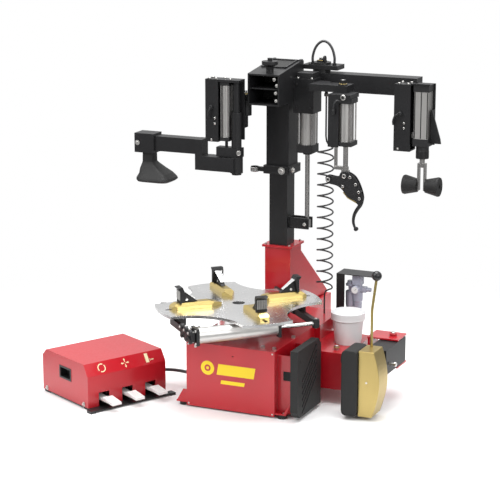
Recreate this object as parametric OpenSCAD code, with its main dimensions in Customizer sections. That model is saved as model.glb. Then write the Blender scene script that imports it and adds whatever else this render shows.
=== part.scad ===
// Tire changer: swing-arm machine with a clamping turntable, bead breaker,
// lifting head with three assist arms, and a separate pedal unit.
// Millimetres. X runs along the front panel, Y to the back, Z up from the floor.

/* [View] */
// Sub-part to show

/* [Turntable] */
// Height of the turntable's upper face over the floor
table_z = 530; // [520:5:540]
// Radius of the lobe tips
lobe_r = 440; // [420:5:450]
// Thickness of the turntable plate
plate_t = 15; // [12:1:18]
// Diameter of the turntable's centre bore
centre_bore_d = 66; // [50:2:70]
// Diameter of the clamp cylinders
clamp_d = 86; // [70:2:90]

/* [Cabinet] */
// Height of the cabinet's top
cabinet_z = 355; // [350:1:358]
// Thickness of the cabinet's sheet
sheet_t = 4; // [3:0.5:5]

/* [Column and head] */
// Side of the square column tube
column_w = 104; // [100:1:105]
// Height of the column's top
column_top = 1400; // [1390:5:1410]
// Diameter of the lift cylinder
lift_d = 88; // [80:2:90]
// Diameter of the lift rod
lift_rod_d = 25; // [20:1:28]

/* [Arms] */
// Side of the left arm tubes
arm_h = 80; // [70:2:84]
// Side of the right beam
beam_h = 96; // [90:2:100]
// Diameter of the tool cylinder
tool_d = 84; // [76:2:88]

/* [Bead breaker] */
// Height of the bead breaker blade
blade_h = 350; // [320:5:355]

/* [Pedal unit] */
// Length of the pedal housing
pedal_l = 495; // [480:5:510]
// Depth of the pedal housing
pedal_d = 440; // [420:5:455]
// Height of the pedal housing
pedal_h = 240; // [230:2:250]
// Distance between pedals
pedal_gap = 147; // [140:1:150]

/* [Hidden] */
$fn = 48;
// Middle of the whole machine, seen from the turntable axis
mid_x = -61.75;
mid_y = 276.23;
// Colours
RED = [0.65, 0.17, 0.19];
BLACK = [0.17, 0.17, 0.18];
GOLD = [0.72, 0.64, 0.35];
STEEL = [0.72, 0.71, 0.69];
RUBBER = [0.13, 0.13, 0.13];
WHITE = [0.85, 0.85, 0.85];
GREY = [0.7, 0.7, 0.76];
// Axes, x and y
column_x = 8;
column_y = 558;
lift_x = 157;
tool_px = 391;
tool_py = 470;
tool_x = 428;
tool_y = 425;
left_px = -122;
left_py = 370;
guide_x = -124;
guide_y = 250;
right_px = 190;
right_py = 672;
roller_x = 800;
roller_y = 580;
bead_px = 720;
bead_py = 400;
foot_x = -640;
// Heights
clamp_z = table_z - plate_t - 52;
plate_z = table_z - plate_t;
// Height of the jaw carriages, and the radius of the drain holes in the rear body
wedge_h = 33;
drain_r = 12;
// Offset of the clamp cylinders from the turntable axis, and their reach along it
clamp_off = 290;
barrel_s0 = -350;
barrel_s1 = 110;
eye_s = 300;
// Corner of the pedal unit and its turn
ped_x = -635;
ped_y = -499;
ped_a = 62;

module bx(x0, x1, y0, y1, z0, z1) {
  translate([x0, y0, z0]) cube([x1 - x0, y1 - y0, z1 - z0]);
}

module cz(x, y, z0, z1, r) {
  translate([x, y, z0]) cylinder(h = z1 - z0, r = r);
}

module cx(y, z, x0, x1, r) {
  translate([x0, y, z]) rotate([0, 90, 0]) cylinder(h = x1 - x0, r = r);
}

module cy(x, z, y0, y1, r) {
  translate([x, y1, z]) rotate([90, 0, 0]) cylinder(h = y1 - y0, r = r);
}

module from_table() {
  translate([-mid_x, -mid_y, 0]) children();
}

module hex_z(x, y, z, s, h) {
  translate([x, y, z]) cylinder(h = h, r = s / 2 / cos(30), $fn = 6);
}

module profile_x(pts, x0, x1) {
  translate([x0, 0, 0]) rotate([90, 0, 90]) linear_extrude(x1 - x0) polygon(pts);
}

module profile_y(pts, y0, y1) {
  translate([0, y1, 0]) rotate([90, 0, 0]) linear_extrude(y1 - y0) polygon(pts);
}

// ---- Base ----
module cabinet_shell() color(RED) from_table() {
  t = sheet_t;
  difference() {
    bx(-200, 300, -216, 330, 20, cabinet_z);
    bx(-200 + t, 300 - t, -220, 330 - t, 16, cabinet_z - t);
    // Gearbox shaft passage
    cz(0, 0, cabinet_z - 20, cabinet_z + 5, 62);
    // Hose entry
    cx(-16, 110, -210, -190, 9);
  }
  // Recessed box on the right with its square hole
  difference() {
    bx(300, 400, -175, 60, 20, 330);
    bx(300 - 1, 395, -171, 56, 24, 340);
    bx(330, 378, -190, -160, 195, 245);
  }
  // Left foot gusset and flange
  bx(-262, -200, -216, -150, 20, 26);
  profile_y([[-260, 26], [-200, 26], [-200, 92], [-222, 92]], -216, -212);
  // Right foot flange
  difference() {
    bx(300, 362, -216, -175, 20, 26);
    cz(335, -196, 10, 40, 8);
  }
}

module front_panel() color(RED) from_table() {
  difference() {
    bx(-200, 300, -220, -216.2, 8, cabinet_z);
    bx(60, 70, -222, -214, 300, 306);
  }
  bx(-190, 290, -216.2, -196, 30, 34);
}

module foot_pads() color(RUBBER) from_table() {
  for (p = [[-231, -184], [335, -196], [-30, 1060], [50, 1060], [-150, 280], [510, 470]]) {
    difference() {
      cz(p[0], p[1], 0, 20, 24);
      cz(p[0], p[1], -1, 6, 7);
    }
  }
}

module bead_pad() color(RUBBER) from_table() {
  difference() {
    profile_x([[-250, 55], [-215, 20], [70, 20], [70, 345], [35, 380], [-250, 380]], 400.2, 440);
    for (p = [[-215, 320], [25, 320], [-215, 90], [25, 90]]) cx(p[0], p[1], 425, 445, 9);
    for (i = [0:5]) {
      translate([438, -90, 112 + i * 34]) rotate([-52, 0, 0]) cube([12, 12, 245], center = true);
    }
  }
}

module rear_body() color(RED) from_table() {
  t = 6;
  // High box under the column
  difference() {
    bx(-150, 330, 330.2, 650, 20, 360);
    bx(-150 + t, 330 - t, 336, 650 - t, 24, 360 - t);
    cz(90, 490, 10, 30, drain_r);
  }
  // Low side beam
  difference() {
    bx(330.2, 560, 130, 520, 80, 280);
    bx(336, 554, 136, 514, 84, 274);
    cz(420, 320, 70, 90, drain_r);
  }
  // Leg under the side beam
  bx(480, 540, 440, 500, 20, 80);
  // Rear frame under the brace
  difference() {
    bx(-70, 90, 650.2, 1100, 20, 330);
    bx(-64, 84, 656, 1094, 24, 324);
    cz(10, 880, 10, 30, drain_r);
  }
  // Bead breaker bracket plates and pin post
  bx(600, 772, 330, 470, 322, 330);
  bx(600, 614, 335, 465, 180, 322);
  bx(559, 772, 330, 470, 172, 180);
  cz(bead_px, bead_py, 172, 340, 12);
  hex_z(bead_px, bead_py, 330, 36, 14);
}

module column_base() color(RED) from_table() {
  difference() {
    union() {
      bx(-67, 83, 500, 655, 360.2, 720);
      bx(-80, 96, 488, 665, 720, 732);
      profile_x([[655, 700], [655, 360.2], [1090, 330.2], [1090, 352]], -50, 66);
    }
    bx(-61, 77, 506, 649, 350, 712);
    profile_x([[660, 680], [660, 368], [1060, 338], [1060, 350]], -46, 62);
    cz(column_x, column_y, 700, 740, 20);
  }
}

module column() color(BLACK) from_table() {
  w = column_w / 2;
  difference() {
    bx(column_x - w, column_x + w, column_y - w, column_y + w, 732.2, column_top);
    bx(column_x - w + 7, column_x + w - 7, column_y - w + 7, column_y + w - 7, 720, column_top - 6);
  }
  // Clevis cheeks for the lift rod
  difference() {
    for (y = [column_y - 32, column_y + 22]) {
      bx(column_x + w, lift_x + 20, y, y + 10, 830, 890);
    }
    cy(lift_x, 858, column_y - 40, column_y + 40, 8.05);
  }
  bx(column_x + w, column_x + w + 10, column_y - 32, column_y + 32, 830, 890);
}

module lift_rod() color(STEEL) from_table() {
  cz(lift_x, column_y, 880, 1312, lift_rod_d / 2);
  bx(lift_x - 17, lift_x + 17, column_y - 17, column_y + 17, 838, 880);
  cy(lift_x, 858, column_y - 36, column_y - 17, 8);
  cy(lift_x, 858, column_y + 17, column_y + 36, 8);
  // Piston head
  cz(lift_x, column_y, 1312, 1326, lift_d / 2 - 6);
}

module gearbox() color([0.35, 0.37, 0.4]) from_table() {
  difference() {
    union() {
      cz(0, 0, 175, 340, 95);
      bx(-60, 150, -60, 60, 200, 270);
      bx(-110, 110, -110, 110, 340, 350.8);
    }
    cz(0, 0, 230, 352, 28.05);
  }
}

module motor() color([0.3, 0.32, 0.36]) from_table() {
  cz(150, 180, 60, 250, 70);
  cz(150, 180, 250, 262, 40);
  bx(60, 240, 140, 220, 40, 60);
}

module drive_pulley() color(STEEL) from_table() {
  difference() {
    cz(150, 180, 266, 296, 36);
    translate([150, 180, 281]) rotate_extrude() translate([36, 0]) square(8, center = true);
  }
}

module base_bolts() color(STEEL) from_table() {
  for (p = [[215, -175, cabinet_z], [280, -175, cabinet_z], [287, 60, cabinet_z], [480, 190, 280]]) {
    hex_z(p[0], p[1], p[2] + 0.2, 19, 12);
  }
  for (p = [[-61, 500], [77, 500], [-61, 652], [77, 652]]) hex_z(p[0], p[1], 732.2, 12, 8);
  for (p = [[-215, 320], [25, 320], [-215, 90], [25, 90]]) cx(p[0], p[1], 425.2, 430, 7);
}

// ---- Air treatment ----
module frl_bracket() color(BLACK) from_table() {
  bx(345, 349, 525, 640, 280.2, 600);
  bx(345, 555, 525, 640, 600, 604);
  bx(345, 392, 525, 529, 280.2, 600);
  bx(345, 400, 525, 640, 280.2, 284);
}

module frl_unit() color(GREY) from_table() {
  bx(425, 475, 555, 605, 540, 599.8);
  cz(450, 580, 430, 540, 24);
  bx(400, 500, 565, 595, 500, 530);
  cz(405, 580, 395, 500, 20);
  // Gauge
  cy(450, 518, 535, 565, 22);
  // Air inlet stub
  difference() {
    cx(580, 515, 500, 525, 12);
    cx(580, 515, 505, 530, 6);
  }
}

module frl_knob() color(GREY) from_table() {
  difference() {
    cz(450, 580, 396, 429.7, 22);
    for (i = [0:11]) {
      translate([450, 580, 390]) rotate(i * 30) translate([23.4, 0, 0]) cylinder(h = 30, r = 3, $fn = 8);
    }
  }
}

// ---- Pedal unit ----
module on_pedals() {
  from_table() translate([ped_x, ped_y, 0]) rotate(ped_a) children();
}

module pedal_housing() color(RED) on_pedals() {
  t = 3;
  a = [[0, 12], [0, 180], [38, pedal_h], [pedal_d - 38, pedal_h], [pedal_d, 205], [pedal_d, 12]];
  b = [[t, 2], [t, 178], [40, pedal_h - t], [pedal_d - 40, pedal_h - t],
    [pedal_d - t, 203], [pedal_d - t, 2]];
  difference() {
    profile_x(a, 0, pedal_l);
    profile_x(b, t, pedal_l - t);
    for (i = [-1:1]) bx(pedal_l / 2 + i * pedal_gap - 33, pedal_l / 2 + i * pedal_gap + 33, -5, 10, 8, 85);
    for (x = [-1, pedal_l - t - 1]) bx(x, x + t + 2, 165, 265, 125, 180);
    cx(300, 110, pedal_l - 10, pedal_l + 5, 9);
  }
}

module pedal_base() color(BLACK) on_pedals() {
  difference() {
    bx(4, pedal_l - 4, 4, pedal_d - 4, 6, 11.8);
    bx(40, pedal_l - 40, 150, pedal_d - 40, 0, 20);
  }
  bx(4, pedal_l - 4, -60, 4, 6, 11.8);
  // Feet
  for (x = [-22, pedal_l - 10]) bx(x, x + 32, -62, -20, 0, 14);
  for (x = [4, pedal_l - 44]) bx(x, x + 40, pedal_d - 60, pedal_d - 10, 0, 6);
  for (x = [4, pedal_l - 44]) bx(x, x + 40, 10, 50, 0, 6);
  // Pedal pivot shaft and its cheeks
  cx(110, 50, 20, pedal_l - 20, 6);
  for (i = [-1.5, -0.5, 0.5, 1.5]) {
    x = pedal_l / 2 + i * pedal_gap;
    bx(x - 4, x + 4, 95, 125, 11, 62);
  }
  // Grip cups set into the end walls
  for (x = [0.2 + 3, pedal_l - 45.2]) {
    difference() {
      bx(x, x + 42, 160, 270, 120, 185);
      if (x < 100) bx(x - 1, x + 36, 166, 264, 126, 179);
      else bx(x + 6, x + 45, 166, 264, 126, 179);
    }
  }
}

module pedal(i) color(WHITE) on_pedals() {
  c = pedal_l / 2 + i * pedal_gap;
  difference() {
    union() {
      profile_x([[128, 44], [128, 58], [92, 60], [-30, 52], [-35, 66], [-118, 52],
        [-118, 42], [-30, 42]], c - 22, c + 22);
      profile_x([[-34, 56], [-34, 68], [-120, 54], [-122, 42], [-110, 42]], c - 28, c + 28);
    }
    cx(110, 50, c - 40, c + 40, 6.05);
  }
}

module pedal_a() pedal(-1);

module pedal_b() pedal(0);

module pedal_c() pedal(1);

// ---- Turntable ----
// Lobe spacing: edge circles cut the plate to a waist of 300
module turntable_plate() color(STEEL) from_table() {
  difference() {
    translate([0, 0, plate_z]) linear_extrude(plate_t) difference() {
      circle(r = lobe_r, $fn = 96);
      for (a = [0:90:270]) rotate(a) translate([563, 0]) circle(r = 263, $fn = 96);
      for (a = [45:90:315]) rotate(a) translate([115, -10]) square([290, 20]);
    }
    cz(0, 0, plate_z - 1, table_z + 1, centre_bore_d / 2);
  }
  // Hub and drive shaft
  difference() {
    union() {
      cz(0, 0, 400, plate_z, 110);
      cz(0, 0, 352, 400, 55);
      cz(0, 0, 240, 352, 28);
    }
    cz(0, 0, 390, 540, centre_bore_d / 2);
  }
}

// A jaw carriage along +X; the slanted ends come from its side profile
module carriage(arms) {
  color(GOLD) translate([0, 0, table_z + 0.4]) intersection() {
    linear_extrude(wedge_h)
      polygon([[94, 0], [160, -35], [350, -35], [376, -24], [376, 24], [350, 35], [160, 35]]);
    profile_y([[90, 0], [377, 0], [377, 14], [350, wedge_h], [170, wedge_h], [94, 12]], -40, 40);
    profile_x([[-36, 0], [36, 0], [36, 14], [20, wedge_h], [-20, wedge_h], [-36, 14]], 90, 380);
  }
  color(BLACK) {
    bx(210, 340, -8, 8, plate_z - 2, table_z + 1);
    bx(206, 350, -28, 28, plate_z - 6, plate_z - 0.4);
  }
  if (arms) color(BLACK) {
    bx(300, 372, -25, 25, clamp_z - 18, plate_z - 6);
    bx(350.2, 372, -25, clamp_off + 26, clamp_z - 18, clamp_z + 18);
    bx(305, 330, -clamp_off - 20, 25, clamp_z - 18, clamp_z + 18);
  }
}

module jaw() color(BLACK) {
  z = table_z + wedge_h + 0.6;
  translate([0, 0, z]) profile_y([[230, 0], [332, 0], [332, 66], [346, 82], [318, 84], [308, 62]], -11, 11);
  translate([0, 0, z]) profile_y([[322, 0], [332, 0], [332, 66], [346, 82], [318, 84], [310, 66]], -30, 30);
}

module clamp_barrel() {
  c = clamp_d / 2;
  difference() {
    union() {
      color(STEEL) cx(-clamp_off, clamp_z, barrel_s0 + 16, barrel_s1 - 16, c - 2);
      color(BLACK) for (x = [barrel_s0, barrel_s1 - 16]) {
        bx(x, x + 16, -clamp_off - c, -clamp_off + c, clamp_z - c, clamp_z + c);
      }
    }
    cx(-clamp_off, clamp_z, barrel_s0 + 16, barrel_s1 - 16, c - 6);
    cx(-clamp_off, clamp_z, 0, barrel_s1 + 1, 11.5);
  }
}

module clamp_rod() color(STEEL) {
  cx(-clamp_off, clamp_z, 20, eye_s + 5, 11);
  cx(-clamp_off, clamp_z, 8, 20, clamp_d / 2 - 8);
}

module carriage_a() from_table() rotate(45) carriage(true);

module carriage_b() from_table() rotate(135) carriage(false);

module carriage_c() from_table() rotate(225) carriage(true);

module carriage_d() from_table() rotate(315) carriage(false);

module jaw_a() from_table() rotate(45) jaw();

module jaw_b() from_table() rotate(135) jaw();

module jaw_c() from_table() rotate(225) jaw();

module jaw_d() from_table() rotate(315) jaw();

// Barrel a rides on carriage c and its rod on carriage a; b is the other way round
module clamp_barrel_a() from_table() rotate(45) clamp_barrel();

module clamp_barrel_b() from_table() rotate(225) clamp_barrel();

module clamp_rod_a() from_table() rotate(45) clamp_rod();

module clamp_rod_b() from_table() rotate(225) clamp_rod();

// ---- Head ----
module head_sleeve() color(BLACK) from_table() {
  difference() {
    union() {
      bx(-57, 73, 493, 623, 1130, 1530);
      bx(-69, 85, 481, 635, 1130, 1176);
      bx(-125, -69, 481, 500, 1140, 1164);
      cz(-120, 481, 1138, 1166, 22);
    }
    bx(column_x - 52.6, column_x + 52.6, column_y - 52.6, column_y + 52.6, 1120, 1540);
  }
  for (x = [40, 70]) cy(x, 1153, 474, 481, 9);
}

module head_box() color(BLACK) from_table() {
  t = 8;
  difference() {
    profile_x([[300, 1530.2], [640, 1530.2], [640, 1735], [600, 1735], [300, 1697]], -82, 98);
    profile_x([[290, 1538], [632, 1538], [632, 1727], [601, 1727], [290, 1687]], -82 + t, 98 - t);
    bx(column_x - 56, column_x + 56, 480, column_y + 56, 1520, 1545);
  }
  bx(-74, 90, 310, 500, 1615, 1621);
  cz(24, 350, 1700, 1715.6, 20);
  // Block around the lift cylinder
  difference() {
    bx(97, 212, 500, 615, 1470, 1655);
    cz(lift_x, column_y, 1460, 1660, lift_d / 2 + 0.6);
  }
  // Lug for the tool link
  difference() {
    bx(212, 425, 440, 540, 1604, 1640);
    cz(tool_px, tool_py, 1600, 1645, 16);
  }
  // Fitting that the coiled hose ends in
  bx(212, 285, 540, 580, 1604, 1640);
  cz(262, 560, 1560, 1604, 9);
  // Lug for the left bracket
  difference() {
    union() {
      bx(left_px, -82, left_py - 30, left_py + 30, 1545, 1570);
      cz(left_px, left_py, 1545, 1570, 30);
    }
    cz(left_px, left_py, 1540, 1580, 12);
  }
  // Cap over the right arm's pivot
  difference() {
    union() {
      bx(97, 300, 620, 724, 1692, 1716);
      cz(right_px, right_py, 1716, 1728, 50);
    }
    cz(right_px, right_py, 1690, 1730, 16);
  }
  // Clamp of the top hose
  for (x = [150, 275]) cz(x, 640, 1716, 1728, 11);
}

module head_knob() color(BLACK) from_table() {
  translate([24, 350, 1715.8])
    rotate_extrude() polygon([[0, 0], [20, 0], [22, 16], [43, 30], [43, 46], [0, 46]]);
  hex_z(24, 350, 1761.8, 24, 16);
}

module lift_barrel() from_table() {
  difference() {
    union() {
      color(STEEL) cz(lift_x, column_y, 1296, 1660, lift_d / 2);
      color(BLACK) bx(lift_x - 46, lift_x + 46, column_y - 46, column_y + 46, 1252, 1296);
      color(BLACK) bx(lift_x - 46, lift_x + 46, column_y - 46, column_y + 46, 1655.2, 1685);
    }
    cz(lift_x, column_y, 1300, 1650, lift_d / 2 - 4);
    cz(lift_x, column_y, 1240, 1320, lift_rod_d / 2 + 0.5);
  }
}

// ---- Tool unit ----
module tool_link() color(BLACK) from_table() {
  bx(346, 470, 372, 500, 1580.2, 1603.6);
  cz(tool_px, tool_py, 1603.6, 1650, 15.94);
  cz(tool_px, tool_py, 1640.5, 1646, 26);
  hex_z(tool_px, tool_py, 1646, 28, 22);
  // Guide channel beside the cylinder
  bx(346, 358, 372, 450, 1325, 1580.2);
  bx(358, 405, 372, 377, 1325, 1580.2);
  bx(358, 378, 405, 445, 1560, 1580.2);
}

module tool_barrel() from_table() {
  h = tool_d / 2 + 5;
  difference() {
    union() {
      color(STEEL) cz(tool_x, tool_y, 1350, 1556, tool_d / 2 - 1);
      color(BLACK) for (z = [1330, 1556]) bx(tool_x - h, tool_x + h, tool_y - h, tool_y + h, z, z + 24);
    }
    cz(tool_x, tool_y, 1350, 1556, tool_d / 2 - 5);
    cz(tool_x, tool_y, 1320, 1360, 13.5);
  }
  for (x = [-h + 8, h - 8]) for (y = [-h + 8, h - 8]) {
    color(STEEL) cz(tool_x + x, tool_y + y, 1354.2, 1555.8, 4);
  }
}

module tool_rod() color(STEEL) from_table() {
  cz(tool_x, tool_y, 1198, 1440, 13);
  cz(tool_x, tool_y, 1440, 1455, tool_d / 2 - 8);
  bx(tool_x - 22, tool_x + 22, tool_y - 7, tool_y + 7, 1150, 1198);
  // Square guide bar
  bx(tool_x - 62, tool_x + 14, tool_y - 11, tool_y + 11, 1198, 1216);
  bx(tool_x - 62, tool_x - 48, tool_y - 8, tool_y + 8, 1216, 1318);
  cy(tool_x, 1168, tool_y - 19, tool_y + 19, 8);
}

// Hook side outline in X and Z, measured from the rod axis
module hook_tool() from_table() {
  y0 = tool_y;
  pts = [[-22, 1186], [16, 1190], [58, 1165], [82, 1120], [104, 1052], [100, 1020], [66, 968], [58, 935],
    [66, 902], [78, 888], [70, 876], [52, 882], [44, 905], [42, 940], [56, 985], [78, 1016], [76, 1040],
    [20, 1062], [-10, 1098], [-40, 1116], [-98, 1124], [-108, 1146], [-96, 1164], [-40, 1160]];
  color(BLACK) difference() {
    union() {
      translate([tool_x, 0, 0]) profile_y(pts, y0 - 16, y0 - 9);
      translate([tool_x, 0, 0]) profile_y(pts, y0 + 9, y0 + 16);
      for (p = [[-90, 1144], [34, 1164], [72, 1108], [84, 1050], [-4, 1118]]) {
        cy(tool_x + p[0], p[1], y0 - 20, y0 + 20, 8);
      }
      translate([tool_x, 0, 0]) profile_y([for (i = [4:17]) pts[i]], y0 - 9, y0 + 9);
    }
    cy(tool_x, 1168, y0 - 30, y0 + 30, 8.05);
  }
}

// ---- Left arm ----
module left_bracket() color(BLACK) from_table() {
  // Pivot drum with its bolt
  cz(left_px, left_py, 1462, 1544.6, 30);
  cz(left_px, left_py, 1544.6, 1575, 11.95);
  cz(left_px, left_py, 1570.6, 1577, 32);
  hex_z(left_px, left_py, 1577, 22, 16);
  bx(-152, -110, 292, 370, 1400, 1540);
  bx(-285, -94, 280, 292, 1345, 1655);
  // Channel
  difference() {
    bx(-288, -214, 212, 292, 1335, 1668);
    bx(-280, -210, 220, 281, 1343, 1660);
  }
  // Top plate and guide shaft
  bx(-214, -94, 214, 292, 1655, 1668);
  cz(guide_x, guide_y, 1312, 1655, 17);
  for (z = [1440, 1465]) cx(250, z, -296, -288, 9);
}

module left_barrel() from_table() {
  difference() {
    union() {
      color(STEEL) cz(-182, guide_y, 1360, 1640, 25);
      color(BLACK) bx(-209, -155, guide_y - 27, guide_y + 27, 1340, 1360);
      color(BLACK) bx(-209, -155, guide_y - 27, guide_y + 27, 1636, 1654.8);
    }
    cz(-182, guide_y, 1360, 1630, 22);
    cz(-182, guide_y, 1330, 1370, 8.5);
  }
}

module left_slider() color(BLACK) from_table() {
  difference() {
    cz(guide_x, guide_y, 1306, 1492, 27);
    cz(guide_x, guide_y, 1308, 1500, 17.06);
  }
  bx(-232, -92, guide_y - 24, guide_y + 24, 1256, 1306);
  cz(-182, guide_y, 1306, 1500, 8);
  cz(-182, guide_y, 1500, 1512, 21);
  cz(guide_x, guide_y, 1165, 1256, 12);
  cz(guide_x, guide_y, 1160, 1169.5, 26);
}

module left_arm() color(BLACK) from_table() {
  a = arm_h / 2;
  difference() {
    union() {
      cz(guide_x, guide_y, 1170, 1255.6, 34);
      bx(-350, guide_x, guide_y - a, guide_y + a, 1176, 1176 + arm_h - 4);
    }
    bx(-342, -162, guide_y - a + 5, guide_y + a - 5, 1182, 1246);
    cz(guide_x, guide_y, 1160, 1260, 12.05);
    bx(-90, -60, 200, 300, 1100, 1300);
  }
  bx(-350, -310, guide_y - a, guide_y + a, 1176 + arm_h - 4, 1340);
  difference() {
    bx(-707, -350, guide_y - a + 4, guide_y + a - 4, 1260, 1340);
    bx(-701, -356, guide_y - a + 10, guide_y + a - 10, 1266, 1334);
  }
  cx(guide_y, 1300, -716, -707, 11);
}

module end_block() color(BLACK) from_table() {
  a = arm_h / 2;
  difference() {
    bx(-708, -592, guide_y - a - 8, guide_y + a + 8, 1247, 1352);
    bx(-720, -580, guide_y - a + 3.5, guide_y + a - 3.5, 1259.5, 1340.5);
  }
  cz(foot_x, guide_y, 1215, 1247, 14);
}

module press_foot() color(BLACK) from_table() {
  difference() {
    union() {
      intersection() {
        profile_y([[-730, 1092], [-500, 1092], [-480, 1118], [-605, 1180], [-605, 1246.6], [-675, 1246.6],
          [-675, 1180], [-740, 1150]], 120, 380);
        profile_x([[130, 1092], [300, 1092], [330, 1110], [285, 1190], [285, 1246.6], [215, 1246.6],
          [215, 1190]], -760, -470);
      }
    }
    cz(foot_x, guide_y, 1210, 1250, 14.05);
  }
}

// ---- Right arm ----
module right_beam() color(BLACK) from_table() {
  h = beam_h / 2;
  difference() {
    union() {
      bx(right_px, 745, right_py - h, right_py + h, 1578, 1578 + beam_h);
      cz(right_px, right_py, 1578, 1578 + beam_h, h);
    }
    bx(240, 740, right_py - h + 5, right_py + h - 5, 1584, 1572 + beam_h);
  }
  cz(right_px, right_py, 1578 + beam_h, 1691.6, 48);
  cz(right_px, right_py, 1691.6, 1740, 15.94);
  cz(right_px, right_py, 1728.6, 1736, 28);
  hex_z(right_px, right_py, 1736, 26, 14);
  // Channel with the roller cylinder's seat
  difference() {
    bx(655, 745, 530, 623.8, 1300, 1655);
    bx(662, 750, 538, 616, 1308, 1648);
  }
  bx(745, 850, 530, 538, 1655, 1662);
  bx(745, 850, 622, 630, 1330, 1655);
  profile_y([[843, 1345], [900, 1345], [896, 1370], [850, 1520], [843, 1520]], 574, 586);
  bx(843, 850, 574, 622, 1345, 1520);
  for (z = [1440, 1470]) cx(580, z, 645, 655, 9);
}

module right_barrel() from_table() {
  difference() {
    union() {
      color(STEEL) bx(762, 838, 542, 618, 1370, 1618);
      color(BLACK) bx(758, 842.6, 538.4, 621.6, 1330, 1370);
      color(BLACK) bx(758, 842.6, 538.4, 621.6, 1618, 1654);
      color(BLACK) cz(roller_x, roller_y, 1262, 1330, 34);
    }
    cz(roller_x, roller_y, 1345, 1610, 34);
    cz(roller_x, roller_y, 1250, 1350, 14.5);
  }
  color(BLACK) bx(745.2, 758, 560, 600, 1340, 1400);
}

module right_fork() from_table() {
  color(STEEL) cz(roller_x, roller_y, 1236, 1560, 14);
  color(STEEL) cz(roller_x, roller_y, 1560, 1574, 32);
  color(BLACK) {
    bx(778, 822, 566, 594, 1214, 1236);
    bx(778, 788, 566, 594, 1090, 1214);
    bx(812, 822, 566, 594, 1090, 1214);
  }
  color(STEEL) cx(roller_y, 1115, 712, 778, 9);
  color(STEEL) cx(roller_y, 1115, 822, 888, 9);
}

module roller() color(RUBBER) {
  difference() {
    rotate([0, 90, 0]) rotate_extrude() polygon([[9.05, 0], [36, 0], [52, 68], [50, 76], [9.05, 76]]);
    translate([60, 0, 0]) rotate([0, 90, 0]) cylinder(h = 20, r = 14);
  }
}

module roller_a() from_table() translate([777, roller_y, 1115]) mirror([1, 0, 0]) roller();

module roller_b() from_table() translate([823, roller_y, 1115]) roller();

// ---- Bead breaker ----
module bead_arm() color(BLACK) from_table() {
  difference() {
    bx(665, 772, 150, 455, 184, 318);
    bx(673, 764, 140, 340, 192, 310);
    cz(bead_px, bead_py, 170, 330, 12.05);
  }
  // Fork at the front and its bolts
  difference() {
    for (x = [684, 744]) bx(x, x + 12, 88, 152, 128, 240);
    cx(120, 157, 680, 760, 8);
  }
  bx(684, 756, 140, 152, 184, 240);
  cz(bead_px, 145, 250, 262, 20);
}

module blade() color(GOLD) from_table() {
  h = blade_h + 20;
  difference() {
    profile_y([[700.2, 20], [772, 20], [815, 130], [815, 250], [780, h], [700.2, h]], -70, 60);
    profile_y([[690, 26], [767, 26], [809, 131], [809, 249], [775, h - 6], [690, h - 6]], -64, 54);
  }
  difference() {
    bx(700.2, 743, 60, 142, 136, 180);
    cx(120, 157, 690, 750, 7.9);
  }
  cx(120, 157, 676, 764, 7.9);
}

module blade_cover() color(RUBBER) from_table() {
  h = blade_h + 20;
  difference() {
    profile_y([[612, 50], [640, 20], [700, 20], [700, h], [620, h], [612, h - 20]], -88, 76);
    profile_y([[626, 56], [645, 34], [710, 34], [710, h - 14], [632, h - 14]], -74, 62);
  }
  cx(0, 300, 588, 612, 34);
}

module bead_handle() from_table() {
  color(GOLD) cz(730, 40, blade_h + 20.2, 560, 7);
  color(GOLD) translate([730, 40, 560]) rotate([-4, 6, 0]) cylinder(h = 170, r = 7);
  color(GOLD) translate([730, 40, 560]) sphere(r = 7);
  color(BLACK) translate([748, 52, 740]) sphere(r = 26);
}

// ---- Bucket and hoses ----
module bucket() color(WHITE) from_table() {
  translate([485, 345, 280.3])
    rotate_extrude() polygon([[0, 0], [70, 0], [84, 130], [91, 132], [93, 170], [88, 170],
      [86, 136], [80, 132], [68, 4], [0, 4]]);
  // Mounting paste
  translate([485, 345, 284.3]) cylinder(h = 118, r1 = 66, r2 = 77);
}

// Ring of points about one point of a route
function unit(v) = v / norm(v);
function route_dir(p, i) = unit(p[min(i + 1, len(p) - 1)] - p[max(i - 1, 0)]);
function ring(p, i, r, n, side) =
  let (d = route_dir(p, i), u = unit(cross(d, side)), v = cross(u, d))
  [for (k = [0:n - 1]) p[i] + r * cos(360 * k / n) * u + r * sin(360 * k / n) * v];

module tube(p, r, n, side) {
  m = len(p);
  pts = [for (i = [0:m - 1]) each ring(p, i, r, n, side)];
  sides = [for (i = [0:m - 2]) for (k = [0:n - 1])
    [i * n + k, i * n + (k + 1) % n, (i + 1) * n + (k + 1) % n, (i + 1) * n + k]];
  start = [for (k = [0:n - 1]) n - 1 - k];
  end = [for (k = [0:n - 1]) (m - 1) * n + k];
  polyhedron(points = pts, faces = concat([start], sides, [end]));
}

pedal_route = [[-534.5, 8.4, 84], [-517.6, 40.2, 84], [-490, 66, 83], [-450, 78, 84], [-405, 76, 87],
  [-360, 62, 91], [-315, 38, 96], [-275, 8, 101], [-238, -16, 105], [-200.2, -16, 105]];
top_route = [[150, 640, 1728.1], [150, 640, 1760], [163, 640, 1802], [186, 640, 1832], [214, 640, 1844],
  [242, 640, 1832], [263, 640, 1802], [275, 640, 1760], [275, 640, 1728.1]];

module pedal_hose() color(RUBBER) from_table() tube(pedal_route, 9, 10, [0, 0, 1]);

module top_hose() color(RUBBER) from_table() tube(top_route, 7, 10, [0, 1, 0]);

module coil_hose() color(RUBBER) from_table() {
  cz(262, 560, 500, 1290, 47);
  cz(262, 560, 360.2, 500, 5);
  cz(262, 560, 1290, 1560, 5);
}

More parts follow.
